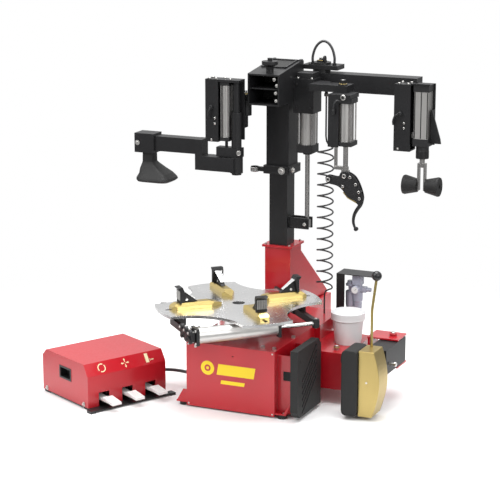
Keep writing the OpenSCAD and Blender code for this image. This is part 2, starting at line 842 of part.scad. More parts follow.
cabinet_shell();
front_panel();
foot_pads();
bead_pad();
rear_body();
column_base();
column();
lift_rod();
gearbox();
motor();
drive_pulley();
frl_bracket();
frl_unit();
frl_knob();
pedal_housing();
pedal_base();
base_bolts();
pedal_hose();
turntable_plate();
carriage_a();
carriage_b();
carriage_c();
carriage_d();
jaw_a();
jaw_b();
jaw_c();
jaw_d();
clamp_barrel_a();
clamp_barrel_b();
clamp_rod_a();
clamp_rod_b();
head_sleeve();
head_box();
head_knob();
lift_barrel();
top_hose();
tool_link();
tool_barrel();
tool_rod();
hook_tool();
left_bracket();
left_barrel();
left_slider();
left_arm();
end_block();
press_foot();
right_beam();
right_barrel();
right_fork();
roller_a();
roller_b();
bead_arm();
blade();
blade_cover();
bead_handle();
pedal_a();
pedal_b();
pedal_c();
bucket();
coil_hose();
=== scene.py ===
import bpy, math, random
from mathutils import Vector, Matrix


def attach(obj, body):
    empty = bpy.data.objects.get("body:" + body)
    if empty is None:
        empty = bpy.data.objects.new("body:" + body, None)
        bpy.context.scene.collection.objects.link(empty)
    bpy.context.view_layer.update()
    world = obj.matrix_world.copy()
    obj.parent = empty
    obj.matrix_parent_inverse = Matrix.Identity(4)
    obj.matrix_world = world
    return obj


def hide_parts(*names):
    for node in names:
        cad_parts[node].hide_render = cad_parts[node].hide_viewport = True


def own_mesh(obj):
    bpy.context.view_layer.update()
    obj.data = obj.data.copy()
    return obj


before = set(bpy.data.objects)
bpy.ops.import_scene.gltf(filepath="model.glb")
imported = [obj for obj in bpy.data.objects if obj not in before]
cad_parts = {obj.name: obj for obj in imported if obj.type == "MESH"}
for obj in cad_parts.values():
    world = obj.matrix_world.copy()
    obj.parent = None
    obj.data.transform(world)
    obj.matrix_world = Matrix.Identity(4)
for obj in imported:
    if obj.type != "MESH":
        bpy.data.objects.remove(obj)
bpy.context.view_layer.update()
random.seed(7)

# the turntable axis lies this far from the middle of the object's box, in mm
MX, MY = -61.75, 276.23
Z, FRONT = (0, 0, 1), (0, -1, 0)


def W(x, y, z):
    """A point measured from the turntable axis on the floor, in mm, as a row-frame point in metres."""
    return Vector(((x - MX) / 1000, (y - MY) / 1000, z / 1000))


# ---------- camera ----------
azimuth, elevation = math.radians(24), math.radians(13.5)
view_back = Vector((math.sin(azimuth) * math.cos(elevation), -math.cos(azimuth) * math.cos(elevation),
                    math.sin(elevation)))
view_right = Vector((math.cos(azimuth), math.sin(azimuth), 0))
view_up = view_back.cross(view_right)
cam_data = bpy.data.cameras.new("camera")
cam = bpy.data.objects.new("camera", cam_data)
bpy.context.scene.collection.objects.link(cam)
bpy.context.scene.camera = cam
cam_data.sensor_width = 36
cam_data.lens = 130.3
cam_data.clip_end = 60
cam.matrix_world = Matrix((view_right, view_up, view_back)).transposed().to_4x4()
cam.location = W(3785.6, -8355.6, 3016.7)


# ---------- materials ----------
def fill(tree, node, inputs):
    """Sets a shader node's inputs. A value is a number, a vector or another node's output."""
    for key, value in inputs.items():
        if isinstance(value, bpy.types.NodeSocket):
            tree.links.new(value, node.inputs[key])
        else:
            node.inputs[key].default_value = value


def add(tree, kind, inputs=None, **settings):
    """A new shader node with its settings and inputs."""
    node = tree.nodes.new(kind)
    for key, value in settings.items():
        setattr(node, key, value)
    fill(tree, node, inputs or {})
    return node


def mat(name, color, metallic=0.0, rough=0.5, noise=40.0, vary=0.12, bump=0.1, coat=0.0, split=None,
        stretch=(1, 1, 1), bevel=0.0015, spec=0.5):
    """A procedural finish. split = (axis vector, low, high, colour, metallic, roughness) paints another
    finish outside low..high along a direction, in metres."""
    m = bpy.data.materials.new(name)
    m.use_nodes = True
    t = m.node_tree
    place = add(t, "ShaderNodeTexCoord").outputs["Object"]
    stretched = add(t, "ShaderNodeMapping", {"Vector": place, "Scale": stretch}).outputs[0]
    fine = add(t, "ShaderNodeTexNoise", {"Vector": stretched, "Scale": noise, "Detail": 6}).outputs["Fac"]
    broad = add(t, "ShaderNodeTexNoise", {"Vector": place, "Scale": 6, "Detail": 3}).outputs["Fac"]
    shade = add(t, "ShaderNodeMapRange", {"Value": broad, "To Min": 1 - vary, "To Max": 1 + vary}).outputs[0]
    paint = add(t, "ShaderNodeVectorMath", {0: color, "Scale": shade}, operation="SCALE").outputs[0]
    gloss = add(t, "ShaderNodeMapRange", {"Value": fine, "To Min": max(0.03, rough - 0.08),
                                          "To Max": min(1, rough + 0.1)}).outputs[0]
    relief = add(t, "ShaderNodeBump", {"Height": fine, "Strength": bump, "Distance": 0.001})
    if bevel:
        edges = add(t, "ShaderNodeBevel", {"Radius": bevel}, samples=4).outputs[0]
        fill(t, relief, {"Normal": edges})
    if split:
        axis, low, high, outer_color, outer_metallic, outer_rough = split
        along = add(t, "ShaderNodeVectorMath", {0: place, 1: axis}, operation="DOT_PRODUCT").outputs["Value"]
        above = add(t, "ShaderNodeMath", {0: along, 1: low}, operation="GREATER_THAN").outputs[0]
        below = add(t, "ShaderNodeMath", {0: along, 1: high}, operation="LESS_THAN").outputs[0]
        inside = add(t, "ShaderNodeMath", {0: above, 1: below}, operation="MULTIPLY").outputs[0]
        paint = add(t, "ShaderNodeMix", {"Factor": inside, "A": (*outer_color, 1), "B": paint},
                    data_type="RGBA").outputs["Result"]
        metallic = add(t, "ShaderNodeMapRange", {"Value": inside, "To Min": outer_metallic,
                                                 "To Max": metallic}).outputs[0]
        gloss = add(t, "ShaderNodeMix", {"Factor": inside, "A": outer_rough, "B": gloss}).outputs["Result"]
    fill(t, t.nodes["Principled BSDF"], {
        "Base Color": paint, "Metallic": metallic, "Roughness": gloss, "Normal": relief.outputs[0],
        "Specular IOR Level": spec, "Coat Weight": coat, "Coat Roughness": 0.12})
    return m


BLK = (0.011, 0.011, 0.012)
SIL = (0.56, 0.55, 0.535)
RED = mat("red paint", (0.43, 0.006, 0.014), rough=0.34, coat=0.6, noise=90, bump=0.05, vary=0.06, spec=0.35)
BLACK = mat("black enamel", BLK, rough=0.4, coat=0.12, noise=110, bump=0.3, vary=0.4, spec=0.35)
ROUGH = mat("black casting", BLK, rough=0.46, noise=240, bump=0.5, vary=0.4, spec=0.4)
RUBBER = mat("rubber", (0.013, 0.013, 0.013), rough=0.6, noise=200, bump=0.3, spec=0.35)
HOSE = mat("hose", (0.03, 0.03, 0.032), rough=0.4, noise=200, bump=0.1, bevel=0)
STEEL = mat("bright steel", (0.5, 0.49, 0.48), 1, 0.24, noise=160, stretch=(1, 1, 0.1), bump=0.04)
PLATE = mat("ground plate", (0.8, 0.8, 0.8), 1, 0.24, noise=30, bump=0, vary=0.1, bevel=0.0008)
BOLT = mat("bolt zinc", (0.6, 0.59, 0.57), 1, 0.3, noise=200, bump=0.1, bevel=0.0006)
GOLD = mat("yellow zinc", (0.47, 0.36, 0.14), 1, 0.36, noise=140, bump=0.08, stretch=(1, 1, 0.1), vary=0.08)
WHITE = mat("white plastic", (0.72, 0.72, 0.71), rough=0.45, noise=150, bump=0.08, vary=0.04)
PAIL = mat("pail plastic", (0.74, 0.74, 0.75), rough=0.38, noise=120, bump=0.05, vary=0.03)
PASTE = mat("paste", (0.85, 0.85, 0.84), rough=0.5, noise=30, bump=0.6, vary=0.03)
GREY = mat("clear grey plastic", (0.36, 0.37, 0.45), rough=0.2, noise=80, bump=0.05, coat=0.4)
# painted shade: near-black sheets for the shade in openings, holes, grooves and recesses; also real dark
# marks, the scribed plate lines and the gauge needle
SHADE_AND_MARKS = mat("painted shade and dark marks", (0.004, 0.004, 0.004), rough=0.7, noise=60, bump=0.1)
YEL = mat("yellow decal", (0.85, 0.62, 0.01), rough=0.4, noise=60, bump=0.03, vary=0.03, bevel=0)
CREAM = mat("cream decal", (0.75, 0.72, 0.45), rough=0.45, noise=60, bump=0.03, vary=0.03, bevel=0)
RIB = mat("pedal rib", (0.5, 0.5, 0.5), rough=0.6, bevel=0)

# the carriages are black below the plate's top, and the handle ends in a black ball
TABLE_TOP, BALL_LOW = 0.5295, 0.714
CARR = mat("carriage zinc", (0.56, 0.43, 0.16), 1, 0.3, noise=60, bump=0.02, vary=0.05, bevel=0.0008,
           split=(Z, TABLE_TOP, 9, BLK, 0, 0.45))
BALL = mat("handle zinc", (0.5, 0.39, 0.14), 1, 0.3, noise=120, bump=0.05,
           split=(Z, 0, BALL_LOW, BLK, 0, 0.3))


def upright(name, low, high):
    """A bright cylinder tube from low to high, in metres, with black caps."""
    return mat(name, SIL, 1, 0.42, noise=120, stretch=(1, 1, 0.05), bump=0.1,
               split=(Z, low, high, BLK, 0, 0.45))


def lying(name, low, high):
    """The same for a clamp cylinder, which lies along the diagonal. low and high are from the axis."""
    diagonal = Vector((1, 1, 0)).normalized()
    axis_at = diagonal.dot(W(0, 0, 0))
    return mat(name, SIL, 1, 0.4, noise=80, bump=0.08,
               split=(diagonal, axis_at + low, axis_at + high, BLK, 0, 0.45))


LOOK = {
    RED: "cabinet_shell front_panel rear_body column_base pedal_housing",
    BLACK: "column pedal_base head_sleeve head_box head_knob tool_link left_bracket left_slider left_arm "
           "end_block right_beam frl_bracket",
    ROUGH: "bead_arm jaw_a jaw_b jaw_c jaw_d gearbox motor",
    RUBBER: "foot_pads bead_pad roller_a roller_b",
    STEEL: "lift_rod drive_pulley tool_rod right_fork clamp_rod_a clamp_rod_b",
    BOLT: "base_bolts",
    PLATE: "turntable_plate",
    CARR: "carriage_a carriage_b carriage_c carriage_d",
    BALL: "bead_handle",
    WHITE: "pedal_a pedal_b pedal_c",
    PAIL: "bucket",
    GREY: "frl_unit frl_knob",
    GOLD: "blade",
    upright("lift cylinder", 1.296, 1.655): "lift_barrel",
    upright("tool cylinder", 1.354, 1.556): "tool_barrel",
    upright("left cylinder", 1.36, 1.636): "left_barrel",
    upright("right cylinder", 1.37, 1.618): "right_barrel",
    lying("clamp cylinder a", -0.334, 0.094): "clamp_barrel_a",
    lying("clamp cylinder b", -0.094, 0.334): "clamp_barrel_b",
}
for finish, names in LOOK.items():
    for name in names.split():
        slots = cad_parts[name].data.materials
        slots.clear()
        slots.append(finish)


# ---------- mesh helpers ----------
def put(name, verts, faces, m, body, bevel=0.0, smooth=False):
    """A mesh object that rides on a body, with its sharp edges rounded by a bevel in metres."""
    me = bpy.data.meshes.new(name)
    me.from_pydata([tuple(v) for v in verts], [], faces)
    me.validate()
    o = bpy.data.objects.new(name, me)
    bpy.context.scene.collection.objects.link(o)
    me.materials.append(m)
    if smooth:
        for p in me.polygons:
            p.use_smooth = True
    if bevel:
        md = o.modifiers.new("bevel", "BEVEL")
        md.width = bevel
        md.segments = 2
        md.limit_method = "ANGLE"
        md.angle_limit = math.radians(40)
    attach(o, body)
    return o


def frame_of(d):
    """The direction as a unit vector, with two more square to it."""
    d = d.normalized()
    a = Vector((0, 0, 1)) if abs(d.z) < 0.9 else Vector((1, 0, 0))
    u = d.cross(a).normalized()
    return d, u, d.cross(u)


def tube_faces(rings, seg):
    """The faces of a closed tube of so many rings with seg points each."""
    faces = []
    for j in range(rings - 1):
        for i in range(seg):
            n = (i + 1) % seg
            faces.append((j * seg + i, j * seg + n, (j + 1) * seg + n, (j + 1) * seg + i))
    faces.append(tuple(range(seg - 1, -1, -1)))
    faces.append(tuple((rings - 1) * seg + i for i in range(seg)))
    return faces


def lathe(name, p0, p1, prof, m, body, seg=32, **k):
    """A turned piece. prof = [(distance along p0 to p1 in mm, radius in mm), ...]."""
    d, u, v = frame_of(p1 - p0)
    verts = []
    for t, r in prof:
        for i in range(seg):
            a = 2 * math.pi * i / seg
            verts.append(p0 + d * t / 1000 + (u * math.cos(a) + v * math.sin(a)) * r / 1000)
    return put(name, verts, tube_faces(len(prof), seg), m, body, **k)


def cyl(name, a, b, r, m, body, seg=24, bevel=0.001, **k):
    """A straight round piece from a to b."""
    p0, p1 = W(*a), W(*b)
    return lathe(name, p0, p1, [(0, r), ((p1 - p0).length * 1000, r)], m, body, seg=seg, bevel=bevel, **k)


def box(name, lo, hi, m, body, bevel=0.0015, **k):
    """A block between two opposite corners."""
    a, b = W(*lo), W(*hi)
    vs = [Vector((x, y, z)) for x in (a.x, b.x) for y in (a.y, b.y) for z in (a.z, b.z)]
    fs = [(0, 1, 3, 2), (4, 6, 7, 5), (0, 4, 5, 1), (2, 3, 7, 6), (0, 2, 6, 4), (1, 5, 7, 3)]
    return put(name, vs, fs, m, body, bevel=bevel, **k)


def prism(name, pts, off, m, body, bevel=0.0015, **k):
    """pts: row-frame points of a flat outline; off: the thickness vector in metres."""
    n = len(pts)
    vs = [Vector(p) for p in pts] + [Vector(p) + off for p in pts]
    fs = [tuple(range(n - 1, -1, -1)), tuple(range(n, 2 * n))]
    fs += [(i, (i + 1) % n, n + (i + 1) % n, n + i) for i in range(n)]
    return put(name, vs, fs, m, body, bevel=bevel, **k)


def bolt(name, at, axis, r, h, m, body, washer=None):
    """A hex head, with a washer of the finish that washer names under it."""
    p = W(*at)
    d = Vector(axis).normalized()
    if washer:
        lathe(name + "_washer", p, p + d, [(0, r * 1.55), (2.4, r * 1.55)], washer, body, seg=28,
              bevel=0.0005)
        p = p + d * 0.0024
    lathe(name, p, p + d, [(0, r), (h * 0.8, r), (h, r * 0.82)], m, body, seg=6, bevel=0.0006)


def smooth_path(pts, n):
    """A Catmull-Rom line through pts with n steps a span."""
    out = []
    q = [pts[0] * 2 - pts[1]] + list(pts) + [pts[-1] * 2 - pts[-2]]
    for i in range(1, len(q) - 2):
        for k in range(n):
            t = k / n
            a, b, c, d = q[i - 1], q[i], q[i + 1], q[i + 2]
            out.append(0.5 * ((2 * b) + (c - a) * t + (2 * a - 5 * b + 4 * c - d) * t * t
                              + (3 * b - a - 3 * c + d) * t ** 3))
    out.append(pts[-1])
    return out


def hose(name, pts, r_mm, m, body, seg=12, r_list=None):
    """A tube along pts. r_list gives each ring's own radius. Each ring's frame comes from the one before."""
    verts = []
    u = frame_of(pts[1] - pts[0])[1]
    for i, p in enumerate(pts):
        t = (pts[min(i + 1, len(pts) - 1)] - pts[max(i - 1, 0)]).normalized()
        u = (u - t * u.dot(t)).normalized()
        v = t.cross(u)
        r = (r_list[i] if r_list else r_mm) / 1000
        for k in range(seg):
            a = 2 * math.pi * k / seg
            verts.append(p + (u * math.cos(a) + v * math.sin(a)) * r)
    return put(name, verts, tube_faces(len(pts), seg), m, body, smooth=True)


def stands_for(node):
    """The object takes the CAD node's place, and the node is hidden."""
    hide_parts(node)


def tie_rods(name, x, y, out, low, high, r, body):
    """Four upright rods at the corners of a square about x, y."""
    for s in (-1, 1):
        for q in (-1, 1):
            at = (x + out * s, y + out * q)
            cyl(f"{name}_{s}{q}", (*at, low), (*at, high), r, STEEL, body)


def bolt_row(name, spots, axis, r, h, m, body, washer=None):
    """Equal bolts at each of the spots."""
    for i, at in enumerate(spots):
        bolt(f"{name}_{i}", at, axis, r, h, m, body, washer=washer)


# ---------- cords ----------
route = [(-534.5, 8.4, 84), (-517.6, 40.2, 84), (-490, 66, 83), (-450, 78, 84), (-405, 76, 87),
         (-360, 62, 91), (-315, 38, 96), (-275, 8, 101), (-238, -16, 105), (-200.2, -16, 105)]
p = smooth_path([W(*q) for q in route], 4)
o = hose("pedal_hose_tube", p, 9, HOSE, "base")
stands_for("pedal_hose")

route = [(150, 640, 1728.1), (150, 640, 1760), (163, 640, 1802), (186, 640, 1832), (214, 640, 1844),
         (242, 640, 1832), (263, 640, 1802), (275, 640, 1760), (275, 640, 1728.1)]
p = smooth_path([W(*q) for q in route], 4)
o = hose("top_hose_tube", p, 6.9, HOSE, "head")
stands_for("top_hose")

# the coiled hose: a lead-in from the cabinet, a helix about the point (262, 560), and a lead-out to the head
COIL_X, COIL_Y, COIL_R = 262, 560, 42
COIL_LOW, COIL_HIGH, TURNS, TURN_STEPS = 505, 1285, 13, 28
p = [W(262, 560, 361), W(262, 560, 400), W(262, 560, 440), W(263, 560, 470), W(270, 560, 488),
     W(285, 557, 497)]
steps = TURNS * TURN_STEPS
for i in range(steps + 1):
    a = 2 * math.pi * i / TURN_STEPS
    p.append(W(COIL_X + COIL_R * math.cos(a), COIL_Y + COIL_R * math.sin(a),
               COIL_LOW + (COIL_HIGH - COIL_LOW) * i / steps))
p += [W(290, 566, 1290), W(276, 564, 1300), W(266, 561, 1318), W(262, 560, 1345), W(262, 560, 1450),
      W(262, 560, 1558)]
o = hose("coil_hose_tube", p, 4.6, HOSE, "base", seg=8)
stands_for("coil_hose")
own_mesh(o)

# ---------- light and floor ----------
sc = bpy.context.scene
sc.view_settings.view_transform = "Standard"
world = bpy.data.worlds.new("studio")
sc.world = world
world.use_nodes = True
sky_tree = world.node_tree


def calc(operation, *values):
    """A math node in the world's tree."""
    return add(sky_tree, "ShaderNodeMath", dict(enumerate(values)), operation=operation).outputs[0]


# soft boxes: five bright and dark bands round the horizon, bright overhead, and plain white to the camera
look_at = add(sky_tree, "ShaderNodeTexCoord").outputs["Generated"]
look = add(sky_tree, "ShaderNodeSeparateXYZ", {0: look_at}).outputs
heading = calc("ARCTAN2", look["Y"], look["X"])
band = calc("MULTIPLY_ADD", calc("SINE", calc("MULTIPLY_ADD", heading, 5.0, 0.5)), 0.5, 0.5)
overhead = calc("MINIMUM", calc("MULTIPLY", calc("MAXIMUM", look["Z"], 0.0), 3.0), 1.0)
lit = calc("ADD", calc("ADD", calc("MULTIPLY", band, 0.35), calc("MULTIPLY", overhead, 0.7)), 0.16)
to_camera = add(sky_tree, "ShaderNodeLightPath").outputs["Is Camera Ray"]
strength = add(sky_tree, "ShaderNodeMix", {"Factor": to_camera, "A": lit, "B": 1.0}).outputs["Result"]
fill(sky_tree, sky_tree.nodes["Background"], {"Color": (1, 1, 1, 1), "Strength": strength})

for name, spot, size, power in (("key", (-2.6, -3.2, 4.4), 2.0, 100), ("fill", (4.2, -2.4, 2.6), 1.6, 60),
                                ("top", (0.2, 0.3, 4.8), 3.2, 260)):
    light = bpy.data.lights.new(name, "AREA")
    light.size = size
    light.energy = power
    lamp = bpy.data.objects.new(name, light)
    sc.collection.objects.link(lamp)
    lamp.location = spot
    lamp.rotation_euler = (Vector((0, 0, 0.8)) - Vector(spot)).to_track_quat("-Z", "Y").to_euler()

# the floor fades into the white backdrop away from the machine
FLOOR = mat("studio floor", (0.86, 0.86, 0.86), rough=0.85, noise=4, vary=0.01, bump=0.02, bevel=0)
t = FLOOR.node_tree
place = add(t, "ShaderNodeTexCoord").outputs["Object"]
away = add(t, "ShaderNodeVectorMath", {0: place}, operation="LENGTH").outputs["Value"]
fade = add(t, "ShaderNodeMapRange", {"Value": away, "From Min": 1.1, "From Max": 2.6},
           interpolation_type="SMOOTHSTEP").outputs[0]
clear = add(t, "ShaderNodeBsdfTransparent").outputs[0]
painted = t.nodes["Principled BSDF"].outputs[0]
faded = add(t, "ShaderNodeMixShader", {0: fade, 1: painted, 2: clear}).outputs[0]
fill(t, t.nodes["Material Output"], {"Surface": faded})
sheet = bpy.data.meshes.new("floor")
sheet.from_pydata([(-30, -30, 0), (30, -30, 0), (30, 30, 0), (-30, 30, 0)], [], [(0, 1, 2, 3)])
floor = bpy.data.objects.new("floor", sheet)
sc.collection.objects.link(floor)
sheet.materials.append(FLOOR)


# ---------- turntable and clamps ----------
def polar(a, s, t, z):
    """A point at reach s and sideways t on the line that runs out at a degrees."""
    c, n = math.cos(math.radians(a)), math.sin(math.radians(a))
    return (s * c - t * n, s * n + t * c, z)


def heading_of(a, s, t, z):
    """The row-frame vector of a step along the same line."""
    return W(*polar(a, s, t, z)) - W(0, 0, 0)


for k, a in (("a", 45), ("b", 135), ("c", 225), ("d", 315)):
    body = "slide_" + k
    # gripping teeth on the jaw's outer face
    for i in range(6):
        tooth = [W(*polar(a, r, t + i * 9.2, 580)) for r, t in ((333, -26), (336, -22), (333, -18))]
        prism(f"jaw_tooth_{k}{i}", tooth, Vector((0, 0, 0.048)), BOLT, body, bevel=0)
    # bright sloping face of the jaw
    slope = [W(*polar(a, *at)) for at in ((246, -9, 580), (246, 9, 580), (312, 20, 628), (312, -20, 628))]
    prism(f"jaw_face_{k}", slope, heading_of(a, -2, 0, 2), PLATE, body, bevel=0.0005)
    cyl(f"jaw_pin_{k}", polar(a, 292, -14, 578), polar(a, 292, 14, 578), 7, BOLT, body)
    # scribed line on the plate
    line = [W(*polar(a, r, t, 530.3)) for r, t in ((112, -1.5), (398, -1.5), (398, 1.5), (112, 1.5))]
    prism(f"table_line_{k}", line, Vector((0, 0, 0.0004)), SHADE_AND_MARKS, "turntable", bevel=0)

for k, a, cyl_body, far in (("a", 45, "slide_c", "slide_a"), ("b", 225, "slide_a", "slide_c")):
    # cap bolts, port fitting and rod eye of each clamp cylinder
    inwards = heading_of(a, -1000, 0, 0)
    for t in (-1, 1):
        for zz in (-1, 1):
            corner = polar(a, -350, -290 + 33 * t, 463 + 33 * zz)
            bolt(f"clamp_nut_{k}{t}{zz}", corner, inwards, 7, 7, BOLT, cyl_body)
    cyl(f"clamp_port_{k}", polar(a, -342, -290, 420), polar(a, -342, -290, 404), 7, BOLT, cyl_body)
    cyl(f"clamp_eye_{k}", polar(a, 317, -290, 440), polar(a, 317, -290, 486), 19, ROUGH, far)
    cyl(f"clamp_eye_pin_{k}", polar(a, 317, -290, 436), polar(a, 317, -290, 490), 8, BOLT, far)
    # link eyes on the crossbar, and the air line beside them
    for i, t in enumerate((-312, -256, -194, -144)):
        cyl(f"clamp_link_eye_{k}{i}", polar(a, -361, t, 440), polar(a, -361, t, 489), 13, ROUGH, cyl_body)
        cyl(f"clamp_link_pin_{k}{i}", polar(a, -361, t, 437), polar(a, -361, t, 492), 6, BOLT, cyl_body)
    route = ((-352, -255, 430), (-366, -210, 418), (-356, -160, 425), (-330, -110, 440), (-250, -95, 450))
    hose(f"clamp_air_line_{k}", smooth_path([W(*polar(a, *at)) for at in route], 6), 4, HOSE, cyl_body)
    # crossed link bars with their knuckles
    bars = ((-300, 484, -236, 440), (-236, 484, -172, 440), (-300, 442, -236, 484))
    for i, (t0, low, t1, high) in enumerate(bars):
        cyl(f"link_{k}{i}", polar(a, -376, t0, low), polar(a, -376, t1, high), 6.5, ROUGH, cyl_body)
    for i, t in enumerate((-300, -236, -172)):
        lathe(f"link_knuckle_{k}{i}", W(*polar(a, -364, t, 484)), W(*polar(a, -384, t, 484)),
              [(0, 15), (4, 17), (16, 17), (20, 12)], ROUGH, cyl_body)
        bolt(f"link_bolt_{k}{i}", polar(a, -384, t, 484), inwards, 7, 5, BOLT, cyl_body)
        lathe(f"link_knuckle_low_{k}{i}", W(*polar(a, -364, t, 440)), W(*polar(a, -382, t, 440)),
              [(0, 13), (4, 15), (15, 15), (18, 10)], ROUGH, cyl_body)


# ---------- cabinet ----------
# a wheel sign and two bars on the front panel
SIGN_Y, SIGN_X, SIGN_Z = -220.25, -78, 226


def on_panel(x, z, lift=0.0):
    """A point on the front panel, or lift metres in front of it."""
    p = W(x, SIGN_Y, z)
    p.y -= lift
    return p


def ring_quads(cx, cz, r0, r1, n=28):
    """The corners of the quads that make a flat ring."""
    for i in range(n):
        a, b = 2 * math.pi * i / n, 2 * math.pi * (i + 1) / n
        yield [(cx + r * math.cos(q), cz + r * math.sin(q)) for r, q in ((r0, a), (r1, a), (r1, b), (r0, b))]


def flat_mesh(name, quads, place, m, body, **k):
    """One mesh of separate flat outlines. place turns an outline's points into row-frame points."""
    vs, fs = [], []
    for q in quads:
        fs.append(tuple(range(len(vs), len(vs) + len(q))))
        vs += [place(*at) for at in q]
    return put(name, vs, fs, m, body, **k)


flat_mesh("wheel_sign", [*ring_quads(SIGN_X, SIGN_Z, 18, 38), *ring_quads(SIGN_X, SIGN_Z, 0.5, 8)],
          lambda x, z: on_panel(x, z, 0.0003), YEL, "base")
for name, pts in (("decal_bar_top", [(-26, 196), (184, 196), (194, 254), (-16, 254)]),
                  ("decal_bar_low", [(-4, 148), (130, 148), (134, 168), (0, 168)])):
    prism(name, [on_panel(x, z) for x, z in pts], Vector((0, -0.0004, 0)), YEL, "base", bevel=0)
for x, z in ((-188, 20), (288, 20), (-188, 343), (288, 343)):
    bolt(f"panel_screw_{x}_{z}", (x, -220, z), FRONT, 5, 2.5, BOLT, "base")
box("foot_flange_left", (-262, -216, 26), (-202, -152, 29), RED, "base")
bolt("anchor_left", (-240, -186, 29), Z, 7, 6, BOLT, "base")
bolt("anchor_right", (345, -200, 26.2), Z, 7, 6, BOLT, "base")
# painted shade: a thin near-black sheet on the cabinet's side
box("side_painted_shade", (331, -174.5, 196), (377, -172, 244), SHADE_AND_MARKS, "base", bevel=0)
prism("side_gusset", [W(346, -216, 26), W(362, -216, 26), W(400, -178, 110), W(396, -178, 120)],
      Vector((0, 0.003, 0)), RED, "base")
# painted shade: thin dark discs for the holes, which are not cut
for p in ((-215, 320), (25, 320), (-215, 90), (25, 90)):
    lathe(f"pad_hole_shade_{p[0]}_{p[1]}", W(439.4, *p), W(440.2, *p), [(0, 12), (0.5, 12)], SHADE_AND_MARKS, "base", seg=24)

# gold washer and bolt that hold the side beam
bolt("beam_bolt", (480, 190, 292), Z, 12, 10, BOLT, "base", washer=GOLD)
# perforated strip of the brace: staggered rows of small holes down the slope, drawn as flat dark hexagons of
# painted shade 0.9 mm above the sheet
BRACE_TOP, BRACE_FOOT, BRACE_LENGTH = (655, 700), (1090, 352), 557.1
HOLE_R, HOLE_ROWS, HOLE_COLUMNS = 3.1, 26, 9
LIFT_Y, LIFT_Z = 0.558, 0.702
run = Vector(BRACE_FOOT) - Vector(BRACE_TOP)
slope_y, slope_z = run / BRACE_LENGTH
holes = []
for i in range(HOLE_ROWS):
    for j in range(HOLE_COLUMNS):
        y, z = Vector(BRACE_TOP) + run * (0.45 + i * 0.0195)
        x = -34 + j * 10.5 + 5 * (i % 2)
        hole = []
        for q in range(6):
            side, down = HOLE_R * math.cos(math.pi * q / 3), HOLE_R * math.sin(math.pi * q / 3)
            hole.append((x + side, y + slope_y * down + LIFT_Y, z + slope_z * down + LIFT_Z))
        holes.append(hole)
flat_mesh("brace_hole_shade", holes, W, SHADE_AND_MARKS, "base")

# ---------- air treatment ----------
lathe("filter_bowl", W(450, 580, 500), W(450, 580, 430), [(0, 27), (50, 27), (62, 22), (69, 8)], GREY,
      "base")
lathe("lubricator_bowl", W(405, 580, 500), W(405, 580, 395), [(0, 25), (80, 24), (94, 16), (102, 6)], GREY,
      "base")
for x in (450, 405):
    lathe(f"bowl_cap_{x}", W(x, 580, 530), W(x, 580, 560), [(0, 24), (10, 24), (14, 17), (28, 15)], GREY,
          "base")
lathe("gauge_case", W(450, 556, 518), W(450, 528, 518), [(0, 10), (6, 22), (24, 23), (27, 20)], GREY, "base")
lathe("gauge_face", W(450, 528.9, 518), W(450, 527.6, 518), [(0, 18), (1.2, 18)], WHITE, "base")
prism("gauge_needle", [W(449, 527, 516), W(451, 527, 516), W(461, 527, 528), W(460, 527, 529)],
      Vector((0, -0.0004, 0)), SHADE_AND_MARKS, "base", bevel=0)

# ---------- pedal unit ----------
PEDAL_X, PEDAL_Y, PEDAL_TURN = -635, -499, math.radians(62)


def pedal_at(u, v, z):
    """A point of the pedal unit: u along its front, v back from it, z up."""
    c, s = math.cos(PEDAL_TURN), math.sin(PEDAL_TURN)
    return W(PEDAL_X + u * c - v * s, PEDAL_Y + u * s + v * c, z)


def chamfer(u, t, lift=0.5):
    """A point on the housing's front chamfer: u along it, t from 0 at the bottom edge to 1 at the top."""
    return pedal_at(u, 38 * t - lift * 0.84, 180 + 60 * t + lift * 0.54)


def sign(name, outlines):
    """Outlines given as (centre, points), with the points in mm across and up the chamfer."""
    chamfer_w = 71.0
    flat_mesh(name, [[(c + x, 0.5 + y / chamfer_w) for x, y in pts] for c, pts in outlines], chamfer, CREAM,
              "base")


def turned(pts, degrees):
    """Points turned about the origin."""
    c, s = math.cos(math.radians(degrees)), math.sin(math.radians(degrees))
    return [(x * c - y * s, x * s + y * c) for x, y in pts]


def rect(x0, y0, x1, y1):
    """The corners of an upright rectangle."""
    return [(x0, y0), (x1, y0), (x1, y1), (x0, y1)]


SIGN_GAPS = (3, 4, 18, 19)
sign("sign_turn", [(100, q) for i, q in enumerate(ring_quads(0, 0, 19, 24, n=30)) if i not in SIGN_GAPS])
sign("sign_clamp", [(247, turned(q, a)) for a in range(0, 360, 90)
                    for q in (rect(6, -2, 16, 2), [(16, -6), (26, 0), (16, 6)])])
sign("sign_blade", [(390, rect(-14, -24, 6, 26)), (418, rect(-8, -14, 8, -9)),
                    (406, [(-4, -20), (2, -12), (-4, -4)])])


def pedal_top(v):
    """The height of a pedal's sloping top, v back from the unit's front."""
    return 68.6 - (v + 34) / (-120 + 34) * 14.4


for k, c in (("left", 100.5), ("middle", 247.5), ("right", 394.5)):
    ribs = []
    for i in range(7):
        v0 = -44 - i * 10
        ribs.append([(u, v, pedal_top(v)) for u, v in rect(c - 21, v0, c + 21, v0 - 3)])
    flat_mesh(f"pedal_grip_{k}", ribs, pedal_at, RIB, "pedal_" + k)
for v in (40, 400):
    p = pedal_at(0, v, 26)
    out = pedal_at(-1, 0, 0) - pedal_at(0, 0, 0)
    lathe(f"pedal_screw_{v}", p, p + out, [(0, 12), (2.5, 12)], BOLT, "base", seg=20)
    lathe(f"pedal_screw_head_{v}", p + out * 2.5, p + out * 4, [(0, 8), (6, 7)], BOLT, "base", seg=6)
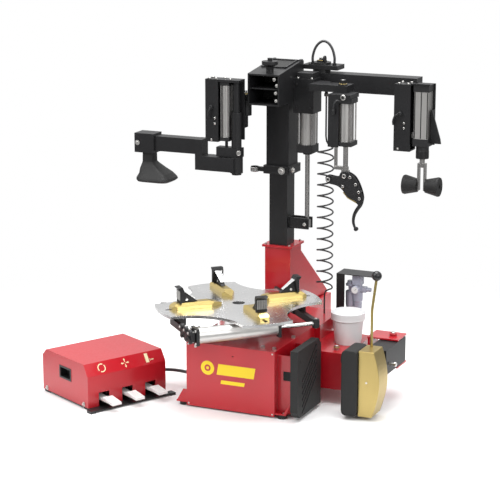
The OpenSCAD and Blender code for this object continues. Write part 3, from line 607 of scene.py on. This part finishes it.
# rim round each hand grip: an outer and an inner outline, each on the side wall and 2 mm out from it
for name, wall, out in (("left", 0, -2), ("right", 495, 497)):
    outer, inner = rect(158, 118, 272, 187), rect(168, 128, 262, 177)
    edges = ((out, outer), (out, inner), (wall, outer), (wall, inner))
    vs = [pedal_at(u, *q) for u, pts in edges for q in pts]
    fs = []
    for i in range(4):
        n = (i + 1) % 4
        fs += [(i, n, 4 + n, 4 + i), (i, 8 + i, 8 + n, n), (4 + i, 4 + n, 12 + n, 12 + i)]
    put(f"grip_rim_{name}", vs, fs, BLACK, "base")


# ---------- head ----------
def roof(x, y, lift=0.0):
    """A point on the head's sloping shelf, or lift mm above it."""
    return W(x, y, 1697 + (y - 300) * 0.127 + lift)


for i, x in enumerate((-70, 86)):
    box(f"head_top_rib_{i}", (x - 8, 600, 1735), (x + 8, 640, 1741), BLACK, "head")
# painted shade: a thin dark sheet on the shelf stands for the recess's shade
recess_shade = [roof(x, y, 0.3) for x, y in rect(-58, 440, 74, 596)]
prism("head_top_recess", recess_shade, Vector((0, 0, 0.0006)), SHADE_AND_MARKS, "head", bevel=0)
bars = (rect(-64, 436, 80, 444), rect(-64, 592, 80, 600), rect(-64, 436, -56, 600), rect(72, 436, 80, 600))
for i, bar in enumerate(bars):
    prism(f"head_top_frame_{i}", [roof(x, y) for x, y in bar], Vector((0, 0, 0.008)), BLACK, "head")
# painted shade: thin dark sheets for the shade inside the head's hollow
box("head_back_painted_shade", (-72, 482, 1540), (88, 484, 1612), SHADE_AND_MARKS, "head", bevel=0)
box("head_shelf_painted_shade", (-72, 498, 1623), (88, 500, 1690), SHADE_AND_MARKS, "head", bevel=0)
bolt_row("head_front_bolt", ((70, 303, 1672), (84, 303, 1640), (78, 303, 1600), (80, 303, 1560)), FRONT,
         6, 6, BOLT, "head", washer=BOLT)
bolt_row("block_top_bolt", ((118, 515, 1655), (196, 515, 1655), (118, 540, 1655)), Z, 8, 7, BOLT, "head")
bolt_row("block_front_bolt", [(x, 500, z) for z in (1625, 1500) for x in (116, 196)], FRONT, 7, 5, ROUGH,
         "head")
bolt("sleeve_bolt_0", (40, 474, 1153), FRONT, 13, 10, BOLT, "head", washer=BOLT)
bolt("sleeve_bolt_1", (85, 520, 1153), (1, 0, 0), 11, 10, BOLT, "head", washer=BOLT)
lathe("grip_end", W(-120, 481, 1138), W(-120, 481, 1168), [(0, 20), (4, 24), (22, 24), (28, 19)], STEEL,
      "head")
for z in (1138, 1172):
    box(f"sleeve_band_{z}", (-70, 480, z - 3), (86, 482, z + 3), BLACK, "head")
tie_rods("lift_tie", 157, 558, 38, 1296, 1470, 4.5, "head")
cyl("lift_neck", (157, 558, 1240), (157, 558, 1252), 24, BLACK, "head")
lathe("lift_gland", W(157, 558, 1240), W(157, 558, 1252), [(0, 20), (12, 24)], BLACK, "head")
bolt("clevis_bolt", (157, 522, 858), FRONT, 11, 6, BOLT, "base", washer=BLACK)
lathe("pivot_cap_dome", W(190, 672, 1716), W(190, 672, 1727), [(0, 50), (8, 48), (11.5, 42)], BLACK, "head",
      seg=40)
box("hose_block", (128, 630, 1716), (172, 655, 1722), BLACK, "head")
lathe("hose_clip_ring", W(213, 640, 1748), W(223, 640, 1748), [(0, 16), (3, 18), (10, 18)], RUBBER, "head",
      seg=28)
lathe("coil_nut_top", W(262, 560, 1561), W(262, 560, 1578), [(0, 10), (2, 12), (15, 12), (17, 10)], BOLT,
      "head", seg=6)

# ---------- tool unit ----------
TOOL_X, TOOL_Y = 428, 425
for s in (-1, 1):
    x, y = TOOL_X + 39 * s, TOOL_Y - 39
    cyl(f"tool_corner_{s}", (x, y, 1354), (x, y, 1556), 5, STEEL, "tool_unit")
lathe("ring_nut", W(430, 378, 1590), W(430, 366, 1590), [(0, 15), (10, 15), (12, 13)], BOLT, "tool_unit")
# painted shade: a dark disc for the shade inside the nut's eye
lathe("ring_nut_eye_shade", W(430, 365.8, 1590), W(430, 365, 1590), [(0, 8), (0.6, 8)], SHADE_AND_MARKS, "tool_unit")
lathe("tool_valve", W(380, 361, 1500), W(380, 361, 1530), [(0, 9), (20, 9), (28, 6)], ROUGH, "tool_unit")
p = smooth_path([W(380, 361, 1528), W(386, 356, 1560), W(402, 356, 1575), W(412, 366, 1572)], 6)
hose("tool_air_line", p, 3.5, HOSE, "tool_unit")
bolt("tool_gold", (391, 470, 1646), Z, 14, 20, BOLT, "tool_unit", washer=GOLD)
lathe("tool_gland", W(428, 425, 1322), W(428, 425, 1331), [(0, 17), (9, 22)], BLACK, "tool_unit")


def by_rod(x, y, z):
    """A point of the hook, with x measured from the tool rod."""
    return W(TOOL_X + x, y, z)


# the hook: two cut plates with bolts between them and a curved finger
outline = [(-22, 1185), (0, 1189), (18, 1188), (56, 1166), (84, 1120), (102, 1062), (96, 1028), (78, 1018),
           (62, 1036), (18, 1056), (-12, 1092), (-44, 1112), (-94, 1122), (-107, 1142), (-98, 1164),
           (-40, 1160), (-22, 1185)]
plate = smooth_path([Vector(at) for at in outline], 5)[:-1]
for i, y in enumerate((409, 435)):
    o = prism(f"hook_plate_{i}", [by_rod(q.x, y, q.y) for q in plate], Vector((0, 0.006, 0)), ROUGH, "hook",
              bevel=0.0012)
    if i == 0:
        stands_for("hook_tool")
curve = ((70, 1090), (92, 1052), (88, 1020), (66, 986), (52, 956), (48, 922), (56, 894), (68, 884))
finger = smooth_path([by_rod(x, 425, z) for x, z in curve], 5)
taper = [13 - 7.5 * i / (len(finger) - 1) for i in range(len(finger))]
hose("hook_finger", finger, 9, ROUGH, "hook", seg=14, r_list=taper)
lathe("hook_tip", W(492, 415, 884), W(492, 435, 884), [(0, 8), (3, 11), (17, 11), (20, 8)], ROUGH, "hook")
BIG_BOSSES = (0, 4)
bosses = ((0, 1168), (34, 1164), (66, 1128), (84, 1088), (-90, 1144), (-6, 1112), (88, 1054))
for i, (x, z) in enumerate(bosses):
    r = 15 if i in BIG_BOSSES else 10
    lathe(f"hook_boss_{i}", by_rod(x, 409, z), by_rod(x, 403, z), [(0, r), (4, r), (5, r - 2)], ROUGH,
          "hook")
    lathe(f"hook_bolt_{i}", by_rod(x, 404, z), by_rod(x, 399.6, z),
          [(0, r * 0.78), (3, r * 0.78), (4, r * 0.6)], BOLT, "hook")
    # painted shade: a thin dark disc for the shade inside each bolt's socket
    lathe(f"hook_socket_shade_{i}", by_rod(x, 399.7, z), by_rod(x, 399.3, z), [(0, r * 0.36), (0.3, r * 0.36)],
          SHADE_AND_MARKS, "hook", seg=16)
    cyl(f"hook_spacer_{i}", (TOOL_X + x, 415, z), (TOOL_X + x, 435, z), 8, STEEL, "hook")
pad = ((-4, 1080), (30, 1058), (66, 1040), (70, 1024), (62, 1028), (18, 1048), (-10, 1078))
prism("hook_pad", [by_rod(x, 412, z) for x, z in pad], Vector((0, 0.026, 0)), GOLD, "hook", bevel=0.001)

# ---------- left arm ----------
SCREW = [(0, 6), (3, 5.5), (4, 3.5)]
for i, z in enumerate((1442, 1470)):
    lathe(f"left_fitting_{i}", W(-288, 250, z), W(-302, 250, z), [(0, 6), (5, 6), (6, 9), (13, 9)], BOLT,
          "left_unit")
for i, (x, z) in enumerate(((-232, 1462), (-232, 1432), (-252, 1345))):
    lathe(f"left_screw_{i}", W(x, 212, z), W(x, 208, z), SCREW, BOLT, "left_unit")
lathe("left_lever_boss", W(-254, 212, 1520), W(-254, 196, 1520), [(0, 12), (8, 12), (14, 9)], ROUGH,
      "left_unit")
p = smooth_path([W(-254, 200, 1520), W(-258, 194, 1500), W(-264, 194, 1480), W(-262, 200, 1462)], 4)
hose("left_lever", p, 5, ROUGH, "left_unit")
bolt_row("left_top_bolt", ((-270, 230, 1668), (-270, 275, 1668), (-232, 230, 1668), (-200, 270, 1668),
                           (-150, 230, 1668)), Z, 7, 7, BOLT, "left_unit")
bolt("left_pivot_gold", (-122, 370, 1577), Z, 13, 10, BOLT, "left_unit", washer=GOLD)
tie_rods("left_tie", -182, 250, 22, 1360, 1636, 3.5, "left_unit")
bolt("left_hub_gold", (-124, 250, 1170), (0, 0, -1), 10, 5, BOLT, "left_swing_arm", washer=GOLD)
lathe("left_clamp_screw", W(-100, 226, 1281), W(-100, 220, 1281), [(0, 13), (4, 13), (5, 10)], BOLT,
      "left_lift")
lathe("end_screw", W(-708, 250, 1300), W(-715, 250, 1300), [(0, 10), (6, 10), (7, 8)], BOLT,
      "left_swing_arm")
bolt("end_side_screw", (-690, 202, 1300), FRONT, 9, 5, BOLT, "end_slide", washer=BOLT)
# press foot: a stem that flares into a flat pad. Each row has its height, half width, half depth and offsets
rows = [(1246, 33, 33, 0, 0), (1195, 34, 34, 0, 0), (1186, 40, 38, 4, 0), (1160, 62, 54, 20, -4),
        (1136, 82, 68, 40, -6), (1114, 98, 82, 45, -8), (1103, 100, 86, 48, -9), (1093, 90, 80, 46, -9)]
FOOT_X, FOOT_Y, FOOT_SEG = -640, 250, 40
SQUARENESS = 5
vs = []
for z, rx, ry, ox, oy in rows:
    for i in range(FOOT_SEG):
        c, n = math.cos(2 * math.pi * i / FOOT_SEG), math.sin(2 * math.pi * i / FOOT_SEG)
        k = (abs(c) ** SQUARENESS + abs(n) ** SQUARENESS) ** (-1 / SQUARENESS)
        vs.append(W(FOOT_X + ox + rx * c * k, FOOT_Y + oy + ry * n * k, z))
fs = [tuple(reversed(f)) for f in tube_faces(len(rows), FOOT_SEG)]
o = put("press_foot_pad", vs, fs, RUBBER, "foot", bevel=0.0015)
stands_for("press_foot")

# ---------- right arm ----------
lathe("right_lever_boss", W(690, 530, 1500), W(690, 512, 1500), [(0, 12), (10, 12), (16, 8)], ROUGH,
      "right_unit")
p = smooth_path([W(686, 516, 1500), W(668, 512, 1490), W(656, 516, 1462), W(654, 524, 1440)], 4)
hose("right_lever", p, 5, ROUGH, "right_unit")
for i, (x, z) in enumerate(((712, 1450), (712, 1424), (680, 1312))):
    lathe(f"right_screw_{i}", W(x, 530, z), W(x, 526, z), SCREW, BOLT, "right_unit")
bolt_row("right_top_bolt", [(x, y, 1655) for y in (550, 606) for x in (675, 725)], Z, 8, 6, BOLT,
         "right_unit")
bolt("right_pivot_bolt", (190, 672, 1736), Z, 15, 12, BOLT, "right_unit", washer=GOLD)
# painted shade: thin dark strips for the shade in the cylinder's grooves
for i, x in enumerate((766, 800, 834)):
    box(f"cylinder_groove_shade_{i}", (x - 2.5, 541.2, 1372), (x + 2.5, 542.4, 1616), SHADE_AND_MARKS, "right_unit", bevel=0)
lathe("bush_collar", W(800, 580, 1262), W(800, 580, 1306), [(0, 30), (4, 35), (40, 35), (43, 33)], BLACK,
      "right_unit")
for s in (-1, 1):
    lathe(f"axle_nut_{s}", W(800 + 76 * s, 580, 1115), W(800 + 88 * s, 580, 1115),
          [(0, 11), (9, 11), (11, 8)], BOLT, "fork")

# ---------- bead breaker ----------
bolt("bead_pin_bolt", (720, 400, 340), Z, 15, 10, BOLT, "base", washer=RED)
lathe("star_knob", W(720, 150, 235), W(720, 126, 235), [(0, 9), (10, 9), (11, 22), (22, 24), (24, 20)],
      RUBBER, "bead_lever", seg=10)
cyl("plunger", (772, 200, 236), (800, 200, 236), 8, BOLT, "bead_lever")
lathe("plunger_knob", W(796, 200, 236), W(812, 200, 236), [(0, 8), (4, 13), (13, 13), (16, 9)], BOLT,
      "bead_lever")
box("pivot_block", (686, 92, 128), (754, 148, 188), ROUGH, "bead_lever")
for s in (-1, 1):
    lathe(f"pivot_gold_{s}", W(720 + 34 * s, 120, 157), W(720 + 46 * s, 120, 157),
          [(0, 17), (3, 17), (4, 10), (12, 10)], GOLD, "bead_lever", seg=6)
    cyl(f"pivot_gold_tip_{s}", (720 + 45 * s, 120, 157), (720 + 56 * s, 120, 157), 6, GOLD, "bead_lever")


def rounded(pts, r, n=5):
    """The outline with each corner turned into an arc of about r."""
    out = []
    for i, corner in enumerate(pts):
        p = Vector(corner)
        before, after = Vector(pts[i - 1]) - p, Vector(pts[(i + 1) % len(pts)]) - p
        k = min(r, before.length / 2.1, after.length / 2.1)
        start, end = p + before.normalized() * k, p + after.normalized() * k
        for t in range(n + 1):
            q = t / n
            out.append(start * (1 - q) ** 2 + p * 2 * q * (1 - q) + end * q * q)
    return out


# the blade: a shell that bulges outwards, and a rounded cover behind it
BLADE_BACK, BLADE_LOW, BLADE_H, BULGE, BULGE_STEPS = 700.4, 21, 348, 42, 14
outline = [(BLADE_BACK, BLADE_LOW)]
for i in range(BULGE_STEPS + 1):
    t = i / BULGE_STEPS
    outline.append((772 + BULGE * math.sin(math.pi * (0.02 + 0.9 * t)), BLADE_LOW + BLADE_H * t))
outline.append((BLADE_BACK, BLADE_LOW + BLADE_H))
o = prism("blade_shell", [W(x, -70, z) for x, z in outline], Vector((0, 0.13, 0)), GOLD, "bead_blade",
          bevel=0.002)
stands_for("blade")
cover = [W(q.x, -88, q.y) for q in rounded(rect(612.5, 20.5, 700, 369.5), 30)]
o = prism("blade_pad", cover, Vector((0, 0.163, 0)), RUBBER, "bead_blade", bevel=0.004)
stands_for("blade_cover")
cyl("blade_boss", (589, 0, 300), (613, 0, 300), 33, ROUGH, "bead_blade")
box("blade_lug", (700.4, 58, 137), (742, 141, 179), GOLD, "bead_blade")
bolt("blade_rivet", (745, -70, 205), FRONT, 6, 3, BOLT, "bead_blade")

# ---------- bucket ----------
PAIL_X, PAIL_Y = 485, 345
lathe("bucket_rim", W(PAIL_X, PAIL_Y, 410), W(PAIL_X, PAIL_Y, 450),
      [(0, 90.5), (3, 92), (14, 91), (15, 90.2)], PAIL, "pail", seg=64)
# the paste: rings of points that rise to a rough heap in the middle
PASTE_R, PASTE_RINGS, PASTE_SEG = 76, 6, 36
vs, fs = [], []
for j in range(PASTE_RINGS + 1):
    r = PASTE_R * j / PASTE_RINGS
    for i in range(PASTE_SEG):
        a = 2 * math.pi * i / PASTE_SEG
        heap = 403.5 + (1 - j / PASTE_RINGS) * 9 + 3 * math.sin(3 * a + j) + random.uniform(-1, 1)
        vs.append(W(PAIL_X + r * math.cos(a), PAIL_Y + r * math.sin(a), heap))
for j in range(PASTE_RINGS):
    for i in range(PASTE_SEG):
        n = (i + 1) % PASTE_SEG
        fs.append((j * PASTE_SEG + i, j * PASTE_SEG + n, (j + 1) * PASTE_SEG + n, (j + 1) * PASTE_SEG + i))
put("bucket_paste", vs, fs, PASTE, "pail", smooth=True)
